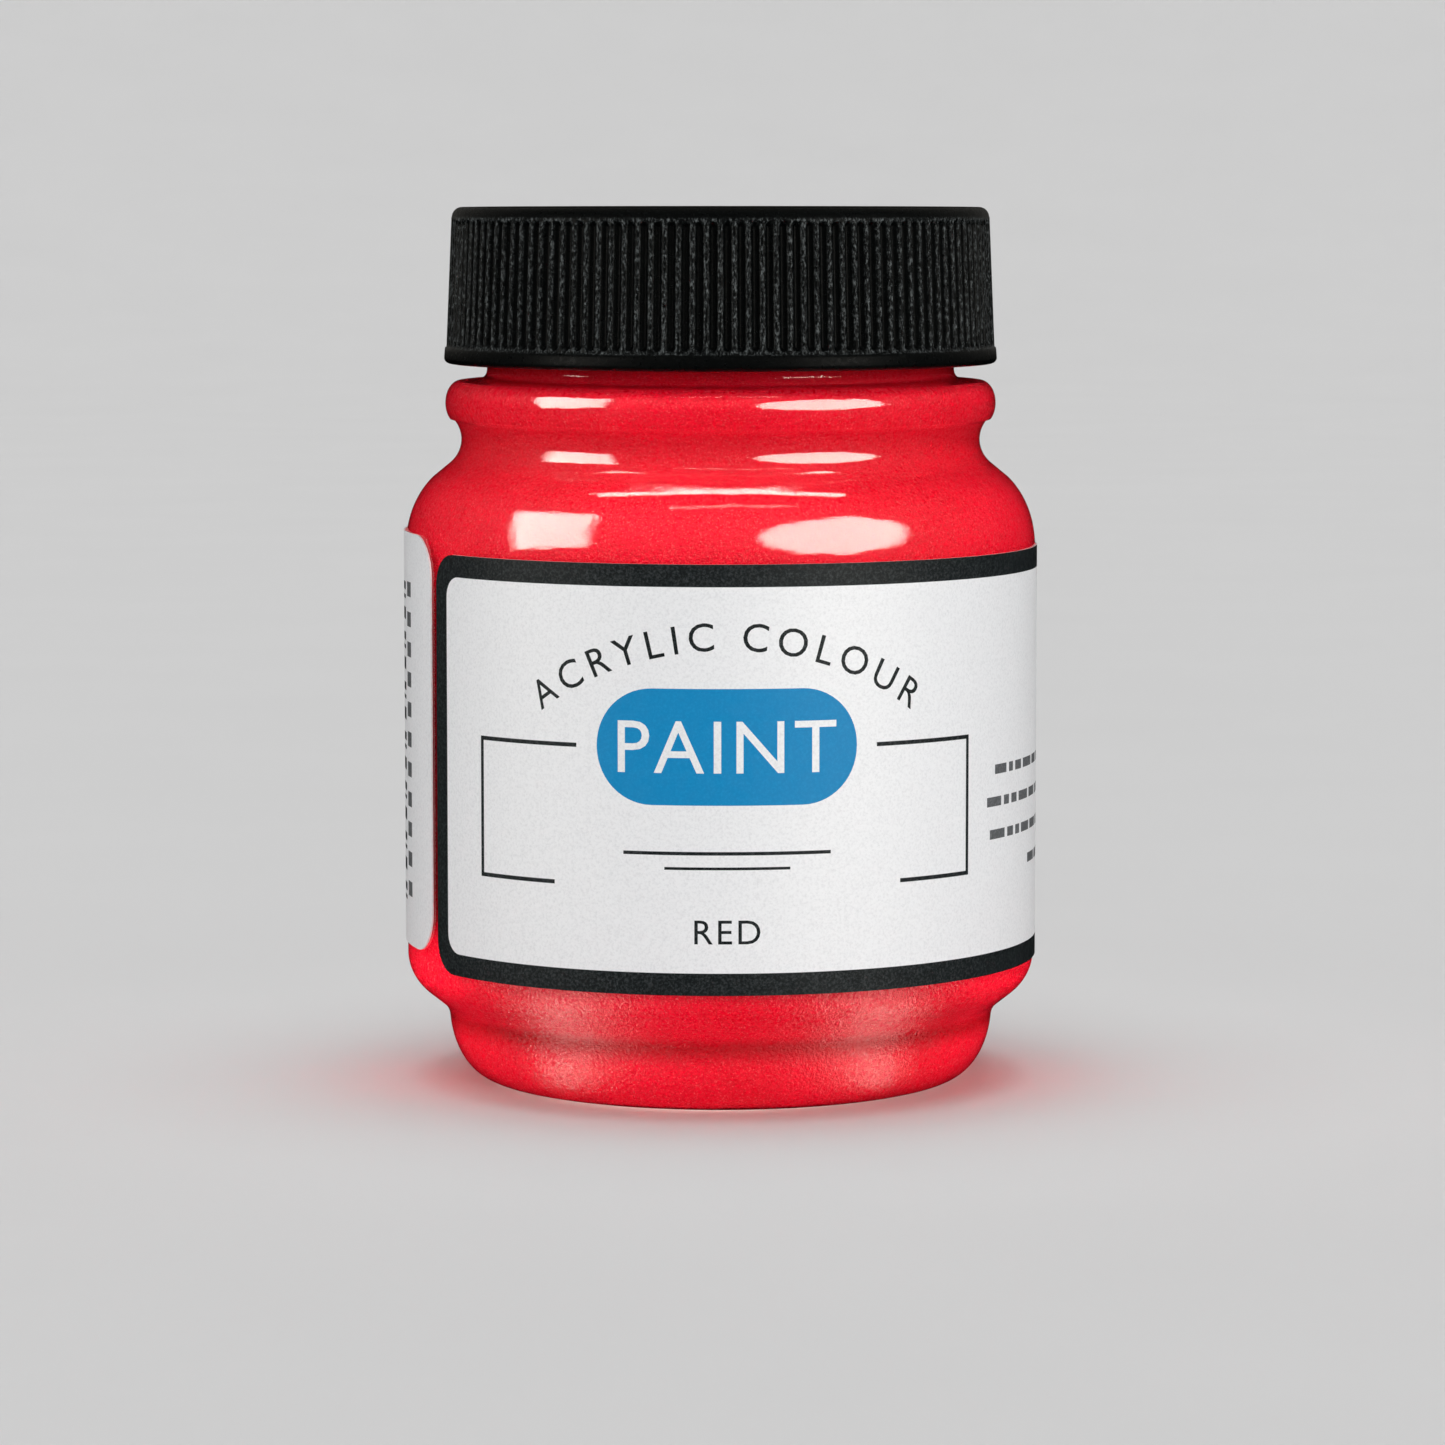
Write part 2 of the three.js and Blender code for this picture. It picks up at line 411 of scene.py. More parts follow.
def paint_against_wall():
    """Paint as seen through the wall: pigment with faint streaks and a broad soft sheen.

    Shade is painted into its colour in the notch above the foot, in the groove under the bead and on the neck
    under the cap, and pale specks in it are painted glints of the sheen.
    """
    made, tree, shader = new_material("paint_against_wall")
    streaks = spread(tree, grain(tree, 9.0, 4, 0.6, stretch=(1, 1, 0.5)), 0.35, 0.65, 0, 1)
    pores = spread(tree, grain(tree, 0.18, 2, 0.7), 0.45, 0.60, 0, 0.5)
    shade = math_of(tree, "MULTIPLY_ADD", streaks, 0.3, pores)
    colour = blend_colours(tree, shade, RED, DEEP_RED)
    # Pale specks painted into the colour as glints of the sheen.
    painted_glints = spread(tree, grain(tree, 0.15, 2, 0.8), 0.57, 0.68, 0, 0.4)
    colour = blend_colours(tree, painted_glints, colour, PAINTED_GLINT_RED)
    # Painted shade from the bands above, in the creases and under the cap.
    painted_shade = 0.0
    for shade_band in PAINTED_SHADE_BANDS:
        shade = math_of(tree, "MULTIPLY", ring_shade(tree, shade_band.height, shade_band.half_width), shade_band.share)
        painted_shade = math_of(tree, "MAXIMUM", painted_shade, shade)
    colour = blend_colours(tree, painted_shade, colour, PAINTED_CREASE_SHADE)
    tree.links.new(colour, shader.inputs["Base Color"])
    rough = spread(tree, grain(tree, 0.28, 2), 0.38, 0.62, 0.20, 0.52)
    tree.links.new(rough, shader.inputs["Roughness"])
    shader.inputs["Specular IOR Level"].default_value = 0.12
    bump(tree, shader, grain(tree, 0.25, 2, 0.7), 0.14)
    return made


def wet_paint():
    """Paint in the open: the fill's top face and the film on the neck."""
    made, tree, shader = new_material("wet_paint")
    skin = spread(tree, grain(tree, 2.2, 3), 0.35, 0.65, 0, 1)
    tree.links.new(blend_colours(tree, skin, RED, DEEP_RED), shader.inputs["Base Color"])
    tree.links.new(spread(tree, grain(tree, 1.0, 2), 0.3, 0.7, 0.12, 0.3), shader.inputs["Roughness"])
    shader.inputs["Coat Weight"].default_value = 0.4
    shader.inputs["Coat Roughness"].default_value = 0.08
    bump(tree, shader, grain(tree, 1.6, 3), 0.08)
    return made


def cap_plastic():
    """Black moulded plastic: fine grain, grey specks, paler rib crests that are partly rubbed and partly
    painted highlight, and a painted highlight line along the band's top edge.
    """
    made, tree, shader = new_material("black_cap_plastic")
    specks = spread(tree, grain(tree, 0.14, 3, 0.7), 0.58, 0.72, 0, 1)
    colour = blend_colours(tree, specks, CAP_BLACK, CAP_SPECK)
    crest = add(tree, "ShaderNodeAttribute", {"attribute_name": "crest"}).outputs["Fac"]
    # A painted highlight line along the top edge of the band.
    band_edge_highlight = ring_shade(tree, CAP_BOTTOM + CAP_BAND, 0.16)
    patches = spread(tree, grain(tree, 0.17, 4, 0.8, stretch=(1, 1, 0.5)), 0.5, 0.66, 0, 1)
    wear_and_highlight = math_of(tree, "MULTIPLY", math_of(tree, "MAXIMUM", crest, band_edge_highlight), patches)
    tree.links.new(blend_colours(tree, wear_and_highlight, colour, CAP_WEAR_AND_HIGHLIGHT), shader.inputs["Base Color"])
    rough = spread(tree, grain(tree, 0.4, 3), 0.3, 0.7, 0.24, 0.42)
    tree.links.new(rough, shader.inputs["Roughness"])
    shader.inputs["Specular IOR Level"].default_value = 0.16
    bump(tree, shader, grain(tree, 0.14, 3, 0.6), 0.02)
    return made


def liner_foam():
    made, tree, shader = new_material("liner_foam")
    voronoi = add(tree, "ShaderNodeTexVoronoi", Vector=place_of(tree), Scale=1 / (0.35 * MM))
    cells = voronoi.outputs["Distance"]
    tint = spread(tree, cells, 0.1, 0.6, 0, 1)
    tree.links.new(blend_colours(tree, tint, FOAM_CELL, FOAM), shader.inputs["Base Color"])
    tree.links.new(spread(tree, grain(tree, 0.8), 0.3, 0.7, 0.7, 0.9), shader.inputs["Roughness"])
    bump(tree, shader, cells, 0.03)
    return made


def printed(name, colour, speck, speck_share, rough, gloss):
    """Coated label paper, plain or covered by one ink."""
    made, tree, shader = new_material(name)
    fibres = spread(tree, grain(tree, 0.2, 4, 0.7), 0.45, 0.72, 0, speck_share)
    tree.links.new(blend_colours(tree, fibres, colour, speck), shader.inputs["Base Color"])
    roughness = spread(tree, grain(tree, 0.6, 3), 0.3, 0.7, *rough)
    tree.links.new(roughness, shader.inputs["Roughness"])
    shader.inputs["Specular IOR Level"].default_value = gloss
    bump(tree, shader, grain(tree, 0.3, 3), 0.006)
    return made


def floor_paper():
    made, tree, shader = new_material("studio_floor")
    mottle = spread(tree, grain(tree, 40, 2), 0.3, 0.7, 0, 1)
    colour = blend_colours(tree, mottle, FLOOR_MOTTLE, FLOOR_PALE)
    tree.links.new(colour, shader.inputs["Base Color"])
    shader.inputs["Roughness"].default_value = 0.75
    shader.inputs["Specular IOR Level"].default_value = 0
    return made


# ---- Jar ----

JAR_COLUMNS = 192
NECK_LEVELS = 62


def wall_inside(inset):
    """The wall's inner face from the floor to the hollow of the bead, inset from the outside."""
    groove_centre = GROOVE_RADIUS + GROOVE[0]
    base = BASE_WALL + inset - WALL
    floor_edge = arc((RING_OUTER, NOTCH), (FOOT_RADIUS - RING_OUTER - inset, NOTCH - base), -90, -4, 14)
    corner = arc(
        (BODY_RADIUS - CORNER[0], BODY_BOTTOM), (CORNER[0] - inset, CORNER[1] - inset), -CORNER_SWEEP, 0, 8
    )
    shoulder = arc(
        (BODY_RADIUS - SHOULDER[0], BODY_TOP),
        (SHOULDER[0] - inset, SHOULDER[1] - inset),
        0,
        SHOULDER_SWEEP,
        12,
    )
    groove = arc((groove_centre, GROOVE_HEIGHT), (GROOVE[0] + inset, GROOVE[1] + inset), 230, 158, 12)
    gap = WALL - inset
    hollow = BEAD_RADIUS - BEAD_WALL + gap
    ceiling = NECK_BOTTOM - BEAD_ROOF + gap
    foot_top = (FOOT_RADIUS - inset, NOTCH + 0.6)
    return [
        *line((4, PUSH_UP + base), (PUSH_UP_RADIUS, PUSH_UP + base), 2),
        *bend((PUSH_UP_RADIUS + 0.4, PUSH_UP + base), (15.2, PUSH_UP + base), floor_edge[0], 6)[:-1],
        *floor_edge,
        *bend(floor_edge[-1], foot_top, corner[0], 5)[1:-1],
        *corner,
        *shoulder,
        *groove,
        *bend((hollow - 0.12, ceiling - 1.0), (hollow, ceiling), (hollow - 0.9, ceiling), 5),
    ]


def mouth_inside():
    """From the ceiling of the bead's hollow up the bore of the neck."""
    ceiling = NECK_BOTTOM - BEAD_ROOF
    return [
        *bend((MOUTH_RADIUS + 0.9, ceiling), (MOUTH_RADIUS, ceiling), (MOUTH_RADIUS, ceiling + 1), 5),
        *line((MOUTH_RADIUS, ceiling + 2), (MOUTH_RADIUS, LIP - 1), 4),
    ]


def wall_outside():
    """From the gate mark under the base up to the foot of the neck."""
    foot = arc((RING_OUTER, NOTCH), (FOOT_RADIUS - RING_OUTER, NOTCH), -90, -9, 22)
    corner = arc((BODY_RADIUS - CORNER[0], BODY_BOTTOM), CORNER, -CORNER_SWEEP, 0, 16)
    groove_centre = GROOVE_RADIUS + GROOVE[0]
    notch = (FOOT_RADIUS, NOTCH)
    above_notch = tuple(n + (c - n) * 0.4 for n, c in zip(notch, corner[0]))
    return [
        *bend((0.5, PUSH_UP - 0.2), (0.9, PUSH_UP - 0.2), (1.2, PUSH_UP), 4),
        *line((4, PUSH_UP), (PUSH_UP_RADIUS, PUSH_UP), 3),
        *bend((PUSH_UP_RADIUS + 0.6, PUSH_UP), (14.9, PUSH_UP), (15.3, 0.35), 6),
        *bend((15.45, 0.12), (15.55, 0.0), (RING_INNER, 0.0), 3),
        *foot,
        *bend(foot[-1], notch, above_notch, 7)[1:],
        *corner,
        *line((BODY_RADIUS, 16), (BODY_RADIUS, 34), 3),
        *arc((BODY_RADIUS - SHOULDER[0], BODY_TOP), SHOULDER, 0, SHOULDER_SWEEP, 22),
        *arc((groove_centre, GROOVE_HEIGHT), GROOVE, 230, 145, 20),
        *arc((BEAD_RADIUS - BEAD[0], BEAD_HEIGHT), BEAD, -45, 76, 20),
        *bend((19.2, NECK_BOTTOM + 0.08), (NECK_RADIUS, NECK_BOTTOM), (NECK_RADIUS, NECK_BOTTOM + 0.9), 7),
    ]


def neck_rows():
    """The outside of the neck, with its thread, and the rounded lip."""
    rows = []
    angles = turns(JAR_COLUMNS)
    for height in np.linspace(NECK_BOTTOM + 1.1, LIP - LIP_ROUND - 0.2, NECK_LEVELS):
        rise = thread_rise(angles, height, 0, THREAD_START)
        rows.append(Row(NECK_RADIUS + THREAD_HEIGHT * rise, height, JAR_COLUMNS, 0))
    size = (LIP_ROUND, LIP_ROUND)
    outer = arc((NECK_RADIUS - LIP_ROUND, LIP - LIP_ROUND), size, 0, 90, 6)
    inner = arc((MOUTH_RADIUS + LIP_ROUND, LIP - LIP_ROUND), size, 90, 180, 6)
    return rows + rows_of([*outer, *inner], JAR_COLUMNS)


def make_jar():
    inside = [*wall_inside(WALL), *mouth_inside()]
    rows = [*rows_of(wall_outside(), JAR_COLUMNS), *neck_rows(), *rows_of(inside[::-1], JAR_COLUMNS)]
    gate_depth = 0.2
    low = PUSH_UP - gate_depth
    jar = revolve("jar_shell", low, rows, PUSH_UP + BASE_WALL, [clear_plastic()], sharp_angle=50)
    settle(jar, "jar", "jar")
    return jar


# ---- Paint ----

FILM_EDGE = 57.0
FILM_RAGGED = 1.6
FILM_THICK = 0.3
FILM_STEPS = 12
FILM_SEED = 3.0
WETTED = 0.05
FACE_RADIUS = 17.6
FACE_RING = 0.6
AGAINST_WALL, OPEN = range(2)


def ragged(angles, seed):
    """A smooth uneven value, from about -1 to about 1, for each angle."""
    wide = 2
    narrow = 9
    values = []
    for angle in angles:
        waves = Vector((wide * math.cos(angle), wide * math.sin(angle), seed))
        teeth = Vector((narrow * math.cos(angle), narrow * math.sin(angle), seed))
        values.append(1.5 * noise.noise(waves) + 0.4 * noise.noise(teeth))
    return np.array(values)


def ripples(radius, angles):
    """The height of the paint's top face over its level, which calms towards the wall."""
    calm = 4
    values = []
    for angle in angles:
        spot = Vector((radius * math.sin(angle), -radius * math.cos(angle), 0))
        swirl = 0.1 * math.sin(2 * angle + radius / 2.2)
        values.append(0.35 * noise.noise(spot / 5) + 0.15 * noise.noise(spot / 1.7) + swirl)
    return np.array(values) * min(1, (FACE_RADIUS - radius) / calm)


def make_paint():
    """The fill, which wets the wall, and the film that it leaves on the neck."""
    angles = turns(JAR_COLUMNS)
    edge = FILM_EDGE + FILM_RAGGED * ragged(angles, FILM_SEED)
    neck_foot = NECK_BOTTOM - BEAD_ROOF + WETTED + 1
    rows = rows_of(wall_inside(WALL - WETTED), JAR_COLUMNS)
    outer = MOUTH_RADIUS + WETTED
    rising = bend((outer + 0.9, neck_foot - 1), (outer, neck_foot - 1), (outer, neck_foot), 5)
    rows += rows_of(rising, JAR_COLUMNS)
    inner = MOUTH_RADIUS - FILM_THICK
    for share in np.linspace(0.1, 1, FILM_STEPS):
        rows.append(Row(outer, neck_foot + (edge - neck_foot) * share, JAR_COLUMNS, AGAINST_WALL))
    rows.append(Row(MOUTH_RADIUS - 0.06, edge + 0.12, JAR_COLUMNS, OPEN))
    rows.append(Row(MOUTH_RADIUS - 0.18, edge + 0.02, JAR_COLUMNS, OPEN))
    for share in np.linspace(0.96, 0, FILM_STEPS):
        thin = inner + 0.12 * ragged(angles, 20 * share)
        rows.append(Row(thin, neck_foot + (edge - neck_foot) * share, JAR_COLUMNS, OPEN))
    under = neck_foot - 1.4
    hollow = [
        (inner, under + 0.6),
        *bend((inner + 0.2, under + 0.1), (inner + 0.5, under), (FACE_RADIUS, under), 4),
        *bend((18.2, under), (18.5, under - 0.1), (18.5, under - 0.35), 3),
        *bend((18.4, PAINT_LEVEL + 0.28), (18.1, PAINT_LEVEL + 0.02), (FACE_RADIUS, PAINT_LEVEL), 4),
    ]
    rows += rows_of(hollow, JAR_COLUMNS, OPEN)
    for radius in np.arange(FACE_RADIUS - FACE_RING, 0.5, -FACE_RING):
        rows.append(Row(radius, PAINT_LEVEL + ripples(radius, angles), JAR_COLUMNS, OPEN))
    materials = [paint_against_wall(), wet_paint()]
    centre = PAINT_LEVEL + float(ripples(0, [0])[0])
    floor = PUSH_UP + BASE_WALL - WETTED
    paint = revolve("paint_fill", floor, rows, centre, materials, sharp_angle=60)
    settle(paint, "jar", "paint")
    return paint


# ---- Cap ----

CAP_COLUMNS = RIBS * RIB_COLUMNS
BORE_COLUMNS = CAP_COLUMNS // 4
DISC_COLUMNS = RIBS // 2
BORE_LEVELS = 62
CROWN_COLUMNS = CAP_COLUMNS // 4


def cap_radius(height):
    return CAP_RADIUS - CAP_DRAFT * (height - CAP_BOTTOM) / (CAP_TOP - CAP_BOTTOM)


def groove_shape():
    """How deep each column lies in the groove between two ribs, from 0 to 1.

    Also how far it is from the middle of the groove, as a share of the ribs' pitch.
    """
    floor_half = 0.12
    mouth_half = 0.36
    across = np.abs(np.arange(CAP_COLUMNS) % RIB_COLUMNS / RIB_COLUMNS - 0.5)
    return 1 - smooth_step(floor_half, mouth_half, across), across


def rib_rows():
    """The ribbed wall of the cap: grooves with rounded ends between the band and the rim."""
    depth, across = groove_shape()
    low = CAP_BOTTOM + CAP_BAND
    high = CAP_TOP - CAP_RIM
    ends = RIB_END_ARCH * across**2
    heights = [
        *np.linspace(low, low + 0.7, 8),
        *np.linspace(low + 1.2, high - 1.2, 9),
        *np.linspace(high - 0.75, high + 0.05, 9),
    ]
    rows = []
    for height in heights:
        from_band = smooth_step(0.05, RIB_END_FADE, height - low - ends)
        from_rim = smooth_step(0.0, RIB_END_FADE, high - height - ends)
        wall = cap_radius(height) - CAP_BAND_STEP
        rows.append(Row(wall - RIB_DEPTH * depth * (from_band * from_rim), height, CAP_COLUMNS, 0))
    return rows


def cap_outside():
    """From the lower edge up to the gate mark in the top, with fewer columns towards the middle."""
    band_top = CAP_BOTTOM + CAP_BAND
    edge_centre = (CAP_RADIUS - CAP_EDGE_ROUND, CAP_BOTTOM + CAP_EDGE_ROUND)
    edge = arc(edge_centre, (CAP_EDGE_ROUND, CAP_EDGE_ROUND), -90, 0, 5)
    band = [
        (cap_radius(band_top - 0.3), band_top - 0.3),
        (cap_radius(band_top) - 0.01, band_top - 0.1),
        (cap_radius(band_top) - CAP_BAND_STEP + 0.02, band_top - 0.03),
    ]
    rim_radius = cap_radius(CAP_TOP) - CAP_BAND_STEP
    crown_centre = (rim_radius - CAP_TOP_ROUND, CAP_TOP - CAP_TOP_ROUND)
    crown = arc(crown_centre, (CAP_TOP_ROUND, CAP_TOP_ROUND), 8, 90, 8)
    return [
        *rows_of([*edge, *band], CAP_COLUMNS),
        *rib_rows(),
        *rows_of([*crown, (18.6, CAP_TOP)], CAP_COLUMNS),
        *rows_of([(17.6, CAP_TOP), (12.0, CAP_TOP)], CROWN_COLUMNS),
        *rows_of([(6.0, CAP_TOP), (GATE_RADIUS + 0.1, CAP_TOP)], DISC_COLUMNS),
        *rows_of([(GATE_RADIUS, CAP_TOP - 0.02), (GATE_RADIUS - 0.1, CAP_TOP - GATE_DEPTH)], DISC_COLUMNS),
    ]


def cap_inside():
    """From the ceiling out to the bore, and down it past the thread."""
    angles = turns(BORE_COLUMNS)
    start = THREAD_START + CAP_THREAD_LEAD_TURNS * PITCH - CAP_THREAD_DROP
    ceiling = [(6, CAP_CEILING), (12, CAP_CEILING), (CAP_BORE - 1.2, CAP_CEILING)]
    ceiling += bend((CAP_BORE - 0.3, CAP_CEILING), (CAP_BORE, CAP_CEILING), (CAP_BORE, CAP_CEILING - 0.3), 3)
    rows = rows_of(ceiling, BORE_COLUMNS)
    for height in np.linspace(CAP_CEILING - 1.2, CAP_BOTTOM + 0.5, BORE_LEVELS):
        rise = thread_rise(angles, height, CAP_THREAD_LEAD_TURNS, start)
        rows.append(Row(CAP_BORE - CAP_THREAD_HEIGHT * rise, height, BORE_COLUMNS, 0))
    mouth = bend((CAP_BORE, CAP_BOTTOM + 0.3), (CAP_BORE + 0.05, CAP_BOTTOM), (CAP_BORE + 0.4, CAP_BOTTOM), 4)
    return rows + rows_of(mouth, BORE_COLUMNS)


def mark_crests(cap):
    """Stores how far out each vertex of the ribbed wall stands, for the paler crests, which are partly rubbed
    and partly painted highlight.
    """
    mesh = cap.data
    spots = np.empty(len(mesh.vertices) * 3, np.float32)
    mesh.vertices.foreach_get("co", spots)
    spots = spots.reshape(-1, 3) / MM
    radius = np.hypot(spots[:, 0], spots[:, 1])
    level = spots[:, 2]
    crest = smooth_step(-RIB_CREST_DEPTH, 0.0, radius - cap_radius(level) + CAP_BAND_STEP)
    crest *= (level > CAP_BOTTOM + CAP_BAND) & (level < CAP_TOP - CAP_RIM + 0.1)
    attribute = mesh.attributes.new("crest", "FLOAT", "POINT")
    attribute.data.foreach_set("value", crest.astype(np.float32))


def make_cap():
    rows = [*cap_inside(), *cap_outside()]
    high = CAP_TOP - GATE_DEPTH
    cap = revolve("screw_cap", CAP_CEILING, rows, high, [cap_plastic()], sharp_angle=65)
    mark_crests(cap)
    settle(cap, "cap", "cap")
    return cap


# ---- Liner ----


def make_liner():
    """A foam disc with the ring that the lip has pressed into its underside."""
    swell = 0.08
    edge = 0.2
    columns = 128
    bottom = LINER_BOTTOM - swell
    outline = [
        (5, bottom),
        (MOUTH_RADIUS - 0.6, bottom),
        (MOUTH_RADIUS - 0.15, LINER_BOTTOM),
        (NECK_RADIUS + 0.1, LINER_BOTTOM),
        (NECK_RADIUS + 0.4, bottom),
        *arc((LINER_RADIUS - edge, bottom + edge), (edge, edge), -90, 0, 4),
        *arc((LINER_RADIUS - edge, LINER_TOP - edge), (edge, edge), 0, 90, 4),
        (5, LINER_TOP),
    ]
    rows = rows_of(outline, columns)
    liner = revolve("sealing_liner", bottom, rows, LINER_TOP, [liner_foam()], sharp_angle=50)
    settle(liner, "liner", "liner")
    return liner


# ---- Label artwork, in millimetres along the label from the front and up from the base ----

WHITE, BLACK, BLUE, GREY = range(4)
Mark = namedtuple("Mark", "loops colour")


def rounded(left, right, low, high, radius, steps=8):
    """The outline of a rectangle with round corners."""
    size = (radius, radius)
    return [
        *arc((right - radius, low + radius), size, -90, 0, steps),
        *arc((right - radius, high - radius), size, 0, 90, steps),
        *arc((left + radius, high - radius), size, 90, 180, steps),
        *arc((left + radius, low + radius), size, 180, 270, steps),
    ]


def counter_clockwise(loop):
    doubled_area = sum(a[0] * b[1] - b[0] * a[1] for a, b in zip(loop, loop[1:] + loop[:1]))
    return loop if doubled_area > 0 else loop[::-1]


def bar(left, right, low, high):
    return [(left, low), (right, low), (right, high), (left, high)]


def letter_loops(words, size, spacing):
    """The outlines of some words in the built-in font, centred on the origin."""
    curve = bpy.data.curves.new("lettering", "FONT")
    curve.body = words
    curve.size = size
    curve.space_character = spacing
    curve.resolution_u = 4
    holder = bpy.data.objects.new("lettering", curve)
    mesh = bpy.data.meshes.new_from_object(holder)
    spots = np.array([v.co[:2] for v in mesh.vertices])
    spots -= (spots.min(0) + spots.max(0)) / 2
    uses = {}
    for face in mesh.polygons:
        corners = list(face.vertices)
        for a, b in zip(corners, corners[1:] + corners[:1]):
            uses[(a, b)] = True
    following = {a: b for a, b in uses if (b, a) not in uses}
    loops = []
    while following:
        start, spot = following.popitem()
        loop = [start]
        while spot != start:
            loop.append(spot)
            spot = following.pop(spot)
        loops.append([tuple(spots[i]) for i in loop])
    bpy.data.objects.remove(holder)
    bpy.data.meshes.remove(mesh)
    bpy.data.curves.remove(curve)
    return loops


def lettering(words, size, centre, colour, spacing=1.0):
    loops = letter_loops(words, size, spacing)
    return Mark([[(x + centre[0], y + centre[1]) for x, y in loop] for loop in loops], colour)


def arched_lettering(words, size, centre, radius, colour, spacing):
    """Words along an arch whose top is at centre."""
    loops = []
    for loop in letter_loops(words, size, spacing):
        turned = []
        for x, y in loop:
            reach = radius + y
            turn = x / radius
            turned.append((centre[0] + reach * math.sin(turn), centre[1] - radius + reach * math.cos(turn)))
        loops.append(turned)
    return Mark(loops, colour)


def blank_words(left, right, middle, height, seed, colour):
    """A line of small print, as plain bars with word gaps."""
    shortest = 0.7
    varying = 1.7
    gap = 0.45
    last_word = 0.6
    marks = []
    spot = left
    count = 0
    while spot < right - last_word:
        length = shortest + varying * (0.5 + 0.5 * math.sin(seed * 12.9 + count * 4.7))
        end = min(spot + length, right)
        marks.append(Mark([bar(spot, end, middle - height / 2, middle + height / 2)], colour))
        spot = end + gap
        count += 1
    return marks


def bracket_marks():
    """Two thin brackets that face each other across the label's middle."""
    rule = 0.3
    low = 17.1
    high = 27.0
    marks = []
    for side, inner_high, inner_low in ((-19.2, -10.6, -12.4), (20.2, 11.6, 13.6)):
        marks.append(Mark([bar(side - rule / 2, side + rule / 2, low, high)], BLACK))
        for inner, height in ((inner_high, high), (inner_low, low)):
            ends = sorted((side + math.copysign(rule / 2, side), inner))
            marks.append(Mark([bar(*ends, height - rule / 2, height + rule / 2)], BLACK))
    return marks


def small_print_marks():
    """Four lines beside the brackets, then a column of narrower ones."""
    marks = []
    lines = ((23.8, 51.5, 24.3), (22.7, 52.0, 21.95), (23.1, 51.8, 19.55), (30.4, 44.5, 17.1))
    for number, (start, end, middle) in enumerate(lines):
        marks += blank_words(start, end, middle, 0.7, number + 1, GREY)
    column_left = 56.0
    column_right = 67.0
    column_top = 35.0
    line_pitch = 2.4
    for number in range(9):
        end = column_right - 2 * (number % 3)
        middle = column_top - line_pitch * number
        marks += blank_words(column_left, end, middle, 0.6, number + 7, GREY)
    return marks


def front_marks(low, high, left, right):
    """White panel in a black frame, thin brackets, a blue lozenge and generic words."""
    centre = 0.5
    half_lozenge = 9.5
    border = LABEL_BORDER
    panel = rounded(left + border, right - border, low + border, high - border, 1.5)
    lozenge = rounded(centre - half_lozenge, centre + half_lozenge, 22.9, 31.2, 4.1, 14)
    return [
        Mark([panel], WHITE),
        *bracket_marks(),
        Mark([lozenge], BLUE),
        lettering("PAINT", 5.4, (centre, 27.05), WHITE, 1.1),
        arched_lettering("ACRYLIC COLOUR", 2.9, (centre, 34.9), 24.6, BLACK, 1.35),
        Mark([bar(centre - 7.5, centre + 7.5, 19.35, 19.6)], BLACK),
        Mark([bar(centre - 4.5, centre + 4.5, 18.3, 18.5)], BLACK),
        lettering("RED", 2.5, (centre, 13.85), BLACK, 1.15),
        *small_print_marks(),
    ]


def back_marks(low, high, left, right):
    """Stripes and a column of short bars, as a code block, and lines of small print."""
    marks = []
    margin = 3.2
    stripe_low = low + margin
    stripe_high = high - margin
    spot = stripe_low
    count = 0
    while spot < stripe_high:
        thick = 0.3 + 0.3 * (count * 7 % 3)
        marks.append(Mark([bar(right - 20.5, right - 7.2, spot, spot + thick)], BLACK))
        spot += thick + 0.35 + 0.3 * (count * 5 % 3)
        count += 1
    for middle in np.linspace(stripe_low + 1, stripe_high - 1, 11):
        marks.append(Mark([bar(right - 6.4, right - 4.8, middle - 0.55, middle + 0.55)], GREY))
    inset = 3.5
    line_pitch = 2.5
    for number in range(10):
        end = left + 25 - 3 * (number % 3)
        middle = high - inset - line_pitch * number
        marks += blank_words(left + inset, end, middle, 0.6, number + 3, GREY)
    return marks


def label_piece(name, node, span, corner, ground, marks_of, materials):
    """One closed sheet bent round the body, its artwork cut into its outer face."""
    low = lowest(node).z
    high = highest(node).z
    left, right = (math.radians(angle) * LABEL_OUTER for angle in span)
    outline = rounded(left, right, low, high, corner)
    marks = marks_of(low, high, left, right)
    spots = []
    loops = []

    def take(loop):
        first = len(spots)
        spots.extend(Vector(point) for point in counter_clockwise(loop))
        loops.append(list(range(first, len(spots))))
        return len(loops) - 1

    take(outline)
    layers = [({take(loop) for loop in mark.loops}, mark.colour) for mark in marks]
    edges = []
    for along in np.arange(left + LABEL_STEP, right, LABEL_STEP):
        edges.append((len(spots), len(spots) + 1))
        spots += [Vector((along, low)), Vector((along, high))]
    for level in np.arange(low + LABEL_LEVELS, high, LABEL_LEVELS):
        edges.append((len(spots), len(spots) + 1))
        spots += [Vector((left, level)), Vector((right, level))]
    whole_hull = 0
    merge_within = 1e-5
    points, _, faces, _, _, sources = delaunay_2d_cdt(spots, edges, loops, whole_hull, merge_within)
    kept = []
    slots = []
    for face, source in zip(faces, sources):
        if 0 not in source:
            continue
        inside = set(source)
        colour = ground
        for members, layer_colour in layers:
            if len(members & inside) % 2:
                colour = layer_colour
        kept.append(list(face))
        slots.append(colour)
    return bend_sheet(name, points, kept, slots, materials)


